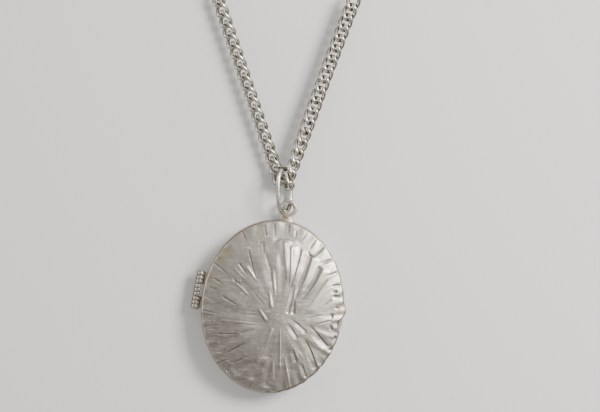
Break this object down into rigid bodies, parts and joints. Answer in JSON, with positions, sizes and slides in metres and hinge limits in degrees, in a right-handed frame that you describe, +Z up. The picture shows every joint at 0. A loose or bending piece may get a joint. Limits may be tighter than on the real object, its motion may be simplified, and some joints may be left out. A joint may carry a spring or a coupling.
{
  "type": "oval photo locket on a curb chain",
  "caption": "Hinged oval photo locket with a chased domed front, held by a ring on a bail, hanging from a twisted curb chain.",
  "frame": {"origin": "centre of the oval back plate's outer face, which the locket rests on", "axes": "+Z up the oval's long axis towards the bail, +X towards the thumb lip, -Y out of the chased front"},
  "size_m": [0.037, 0.0079, 0.0893],
  "materials": {
    "chased_silver": "satin, chased and hammered",
    "case_silver": "satin",
    "bright_silver": "polished",
    "ring_silver": "worn satin",
    "solder": "dull, tarnished",
    "chain_silver": "polished",
    "clear_acetate": "clear, glossy",
    "card": "matt uncoated card"
  },
  "bodies": {
    "back_case": {"back_plate": "case_silver", "back_wall": "case_silver", "inner_lip": "case_silver", "hinge_knuckle_upper": "case_silver", "hinge_knuckle_lower": "case_silver", "hinge_bearer_upper": "case_silver", "hinge_bearer_lower": "case_silver", "hinge_pin": "case_silver", "back_photo_card": "card", "back_window": "clear_acetate", "back_photo_frame": "bright_silver", "bail_ring": "ring_silver", "bail_collar": "solder"},
    "front_half": {"front_cover": "chased_silver", "front_wall": "case_silver", "hinge_knuckle_middle": "case_silver", "hinge_bearer_middle": "case_silver", "front_photo_card": "card", "front_window": "clear_acetate", "front_photo_frame": "bright_silver"},
    "jump_ring": {"jump_ring": "ring_silver"},
    "chain_centre": {"chain_centre": "chain_silver"},
    "chain_left_01": {"chain_left_01": "chain_silver"},
    "chain_left_02": {"chain_left_02": "chain_silver"},
    "chain_left_03": {"chain_left_03": "chain_silver"},
    "chain_left_04": {"chain_left_04": "chain_silver"},
    "chain_left_05": {"chain_left_05": "chain_silver"},
    "chain_left_06": {"chain_left_06": "chain_silver"},
    "chain_left_07": {"chain_left_07": "chain_silver"},
    "chain_left_08": {"chain_left_08": "chain_silver"},
    "chain_left_09": {"chain_left_09": "chain_silver"},
    "chain_left_10": {"chain_left_10": "chain_silver"},
    "chain_left_11": {"chain_left_11": "chain_silver"},
    "chain_left_12": {"chain_left_12": "chain_silver"},
    "chain_left_13": {"chain_left_13": "chain_silver"},
    "chain_left_14": {"chain_left_14": "chain_silver"},
    "chain_left_15": {"chain_left_15": "chain_silver"},
    "chain_left_16": {"chain_left_16": "chain_silver"},
    "chain_left_17": {"chain_left_17": "chain_silver"},
    "chain_left_18": {"chain_left_18": "chain_silver"},
    "chain_right_01": {"chain_right_01": "chain_silver"},
    "chain_right_02": {"chain_right_02": "chain_silver"},
    "chain_right_03": {"chain_right_03": "chain_silver"},
    "chain_right_04": {"chain_right_04": "chain_silver"},
    "chain_right_05": {"chain_right_05": "chain_silver"},
    "chain_right_06": {"chain_right_06": "chain_silver"},
    "chain_right_07": {"chain_right_07": "chain_silver"},
    "chain_right_08": {"chain_right_08": "chain_silver"},
    "chain_right_09": {"chain_right_09": "chain_silver"},
    "chain_right_10": {"chain_right_10": "chain_silver"},
    "chain_right_11": {"chain_right_11": "chain_silver"},
    "chain_right_12": {"chain_right_12": "chain_silver"},
    "chain_right_13": {"chain_right_13": "chain_silver"},
    "chain_right_14": {"chain_right_14": "chain_silver"},
    "chain_right_15": {"chain_right_15": "chain_silver"},
    "chain_right_16": {"chain_right_16": "chain_silver"},
    "chain_right_17": {"chain_right_17": "chain_silver"},
    "chain_right_18": {"chain_right_18": "chain_silver"}
  },
  "joints": [
    {"name": "cover_hinge", "type": "hinge", "parent": "back_case", "child": "front_half", "pos_m": [-0.01659, -0.0033, 0.00172], "axis": [-0.0715, 0, -0.9974], "range_deg": [0, 170]},
    {"name": "bail_swing", "type": "hinge", "parent": "back_case", "child": "jump_ring", "pos_m": [0.00088, -0.00245, 0.02149], "axis": [0, 1, 0], "range_deg": [-20, 20]},
    {"name": "centre_link_rock", "type": "hinge", "parent": "jump_ring", "child": "chain_centre", "pos_m": [-0.00023, -0.00285, 0.02716], "axis": [0.8616, -0.4977, 0.0992], "range_deg": [-2, 2]},
    {"name": "left_link_01_bend", "type": "hinge", "parent": "chain_centre", "child": "chain_left_01", "pos_m": [-0.00116, -0.00289, 0.02779], "axis": [0, 1, 0], "range_deg": [-1.5, 1.5]},
    {"name": "left_link_02_bend", "type": "hinge", "parent": "chain_left_01", "child": "chain_left_02", "pos_m": [-0.0026, -0.00293, 0.02951], "axis": [0, 1, 0], "range_deg": [-2, 2]},
    {"name": "left_link_03_bend", "type": "hinge", "parent": "chain_left_02", "child": "chain_left_03", "pos_m": [-0.00363, -0.00293, 0.0317], "axis": [0, 1, 0], "range_deg": [-6, 6]},
    {"name": "left_link_04_bend", "type": "hinge", "parent": "chain_left_03", "child": "chain_left_04", "pos_m": [-0.00466, -0.00293, 0.03389], "axis": [0, 1, 0], "range_deg": [-10, 10]},
    {"name": "left_link_05_bend", "type": "hinge", "parent": "chain_left_04", "child": "chain_left_05", "pos_m": [-0.0057, -0.00293, 0.03608], "axis": [0, 1, 0], "range_deg": [-10, 10]},
    {"name": "left_link_06_bend", "type": "hinge", "parent": "chain_left_05", "child": "chain_left_06", "pos_m": [-0.00673, -0.00293, 0.03827], "axis": [0, 1, 0], "range_deg": [-10, 10]},
    {"name": "left_link_07_bend", "type": "hinge", "parent": "chain_left_06", "child": "chain_left_07", "pos_m": [-0.00776, -0.00293, 0.04045], "axis": [0, 1, 0], "range_deg": [-10, 10]},
    {"name": "left_link_08_bend", "type": "hinge", "parent": "chain_left_07", "child": "chain_left_08", "pos_m": [-0.00879, -0.00293, 0.04264], "axis": [0, 1, 0], "range_deg": [-10, 10]},
    {"name": "left_link_09_bend", "type": "hinge", "parent": "chain_left_08", "child": "chain_left_09", "pos_m": [-0.00983, -0.00293, 0.04483], "axis": [0, 1, 0], "range_deg": [-10, 10]},
    {"name": "left_link_10_bend", "type": "hinge", "parent": "chain_left_09", "child": "chain_left_10", "pos_m": [-0.01086, -0.00293, 0.04702], "axis": [0, 1, 0], "range_deg": [-10, 10]},
    {"name": "left_link_11_bend", "type": "hinge", "parent": "chain_left_10", "child": "chain_left_11", "pos_m": [-0.01189, -0.00293, 0.04921], "axis": [0, 1, 0], "range_deg": [-10, 10]},
    {"name": "left_link_12_bend", "type": "hinge", "parent": "chain_left_11", "child": "chain_left_12", "pos_m": [-0.01293, -0.00293, 0.0514], "axis": [0, 1, 0], "range_deg": [-10, 10]},
    {"name": "left_link_13_bend", "type": "hinge", "parent": "chain_left_12", "child": "chain_left_13", "pos_m": [-0.01396, -0.00293, 0.05359], "axis": [0, 1, 0], "range_deg": [-10, 10]},
    {"name": "left_link_14_bend", "type": "hinge", "parent": "chain_left_13", "child": "chain_left_14", "pos_m": [-0.01499, -0.00293, 0.05577], "axis": [0, 1, 0], "range_deg": [-10, 10]},
    {"name": "left_link_15_bend", "type": "hinge", "parent": "chain_left_14", "child": "chain_left_15", "pos_m": [-0.01603, -0.00293, 0.05796], "axis": [0, 1, 0], "range_deg": [-10, 10]},
    {"name": "left_link_16_bend", "type": "hinge", "parent": "chain_left_15", "child": "chain_left_16", "pos_m": [-0.01706, -0.00293, 0.06015], "axis": [0, 1, 0], "range_deg": [-10, 10]},
    {"name": "left_link_17_bend", "type": "hinge", "parent": "chain_left_16", "child": "chain_left_17", "pos_m": [-0.01809, -0.00293, 0.06234], "axis": [0, 1, 0], "range_deg": [-10, 10]},
    {"name": "left_link_18_bend", "type": "hinge", "parent": "chain_left_17", "child": "chain_left_18", "pos_m": [-0.01912, -0.00293, 0.06453], "axis": [0, 1, 0], "range_deg": [-10, 10]},
    {"name": "right_link_01_bend", "type": "hinge", "parent": "chain_centre", "child": "chain_right_01", "pos_m": [0.00012, -0.00334, 0.02762], "axis": [0, 1, 0], "range_deg": [-1.5, 1.5]},
    {"name": "right_link_02_bend", "type": "hinge", "parent": "chain_right_01", "child": "chain_right_02", "pos_m": [0.00069, -0.00384, 0.02927], "axis": [0, 1, 0], "range_deg": [-3, 3]},
    {"name": "right_link_03_bend", "type": "hinge", "parent": "chain_right_02", "child": "chain_right_03", "pos_m": [0.00117, -0.00384, 0.03164], "axis": [0, 1, 0], "range_deg": [-6, 6]},
    {"name": "right_link_04_bend", "type": "hinge", "parent": "chain_right_03", "child": "chain_right_04", "pos_m": [0.00169, -0.00384, 0.03401], "axis": [0, 1, 0], "range_deg": [-10, 10]},
    {"name": "right_link_05_bend", "type": "hinge", "parent": "chain_right_04", "child": "chain_right_05", "pos_m": [0.00222, -0.00384, 0.03637], "axis": [0, 1, 0], "range_deg": [-10, 10]},
    {"name": "right_link_06_bend", "type": "hinge", "parent": "chain_right_05", "child": "chain_right_06", "pos_m": [0.00275, -0.00384, 0.03873], "axis": [0, 1, 0], "range_deg": [-10, 10]},
    {"name": "right_link_07_bend", "type": "hinge", "parent": "chain_right_06", "child": "chain_right_07", "pos_m": [0.00329, -0.00384, 0.04109], "axis": [0, 1, 0], "range_deg": [-10, 10]},
    {"name": "right_link_08_bend", "type": "hinge", "parent": "chain_right_07", "child": "chain_right_08", "pos_m": [0.00384, -0.00384, 0.04344], "axis": [0, 1, 0], "range_deg": [-10, 10]},
    {"name": "right_link_09_bend", "type": "hinge", "parent": "chain_right_08", "child": "chain_right_09", "pos_m": [0.00439, -0.00384, 0.0458], "axis": [0, 1, 0], "range_deg": [-10, 10]},
    {"name": "right_link_10_bend", "type": "hinge", "parent": "chain_right_09", "child": "chain_right_10", "pos_m": [0.00495, -0.00384, 0.04816], "axis": [0, 1, 0], "range_deg": [-10, 10]},
    {"name": "right_link_11_bend", "type": "hinge", "parent": "chain_right_10", "child": "chain_right_11", "pos_m": [0.00551, -0.00384, 0.05051], "axis": [0, 1, 0], "range_deg": [-10, 10]},
    {"name": "right_link_12_bend", "type": "hinge", "parent": "chain_right_11", "child": "chain_right_12", "pos_m": [0.00608, -0.00384, 0.05286], "axis": [0, 1, 0], "range_deg": [-10, 10]},
    {"name": "right_link_13_bend", "type": "hinge", "parent": "chain_right_12", "child": "chain_right_13", "pos_m": [0.00666, -0.00384, 0.05521], "axis": [0, 1, 0], "range_deg": [-10, 10]},
    {"name": "right_link_14_bend", "type": "hinge", "parent": "chain_right_13", "child": "chain_right_14", "pos_m": [0.00724, -0.00384, 0.05756], "axis": [0, 1, 0], "range_deg": [-10, 10]},
    {"name": "right_link_15_bend", "type": "hinge", "parent": "chain_right_14", "child": "chain_right_15", "pos_m": [0.00783, -0.00384, 0.05991], "axis": [0, 1, 0], "range_deg": [-10, 10]},
    {"name": "right_link_16_bend", "type": "hinge", "parent": "chain_right_15", "child": "chain_right_16", "pos_m": [0.00843, -0.00384, 0.06225], "axis": [0, 1, 0], "range_deg": [-10, 10]},
    {"name": "right_link_17_bend", "type": "hinge", "parent": "chain_right_16", "child": "chain_right_17", "pos_m": [0.00903, -0.00384, 0.0646], "axis": [0, 1, 0], "range_deg": [-10, 10]},
    {"name": "right_link_18_bend", "type": "hinge", "parent": "chain_right_17", "child": "chain_right_18", "pos_m": [0.00963, -0.00384, 0.06694], "axis": [0, 1, 0], "range_deg": [-10, 10]}
  ]
}
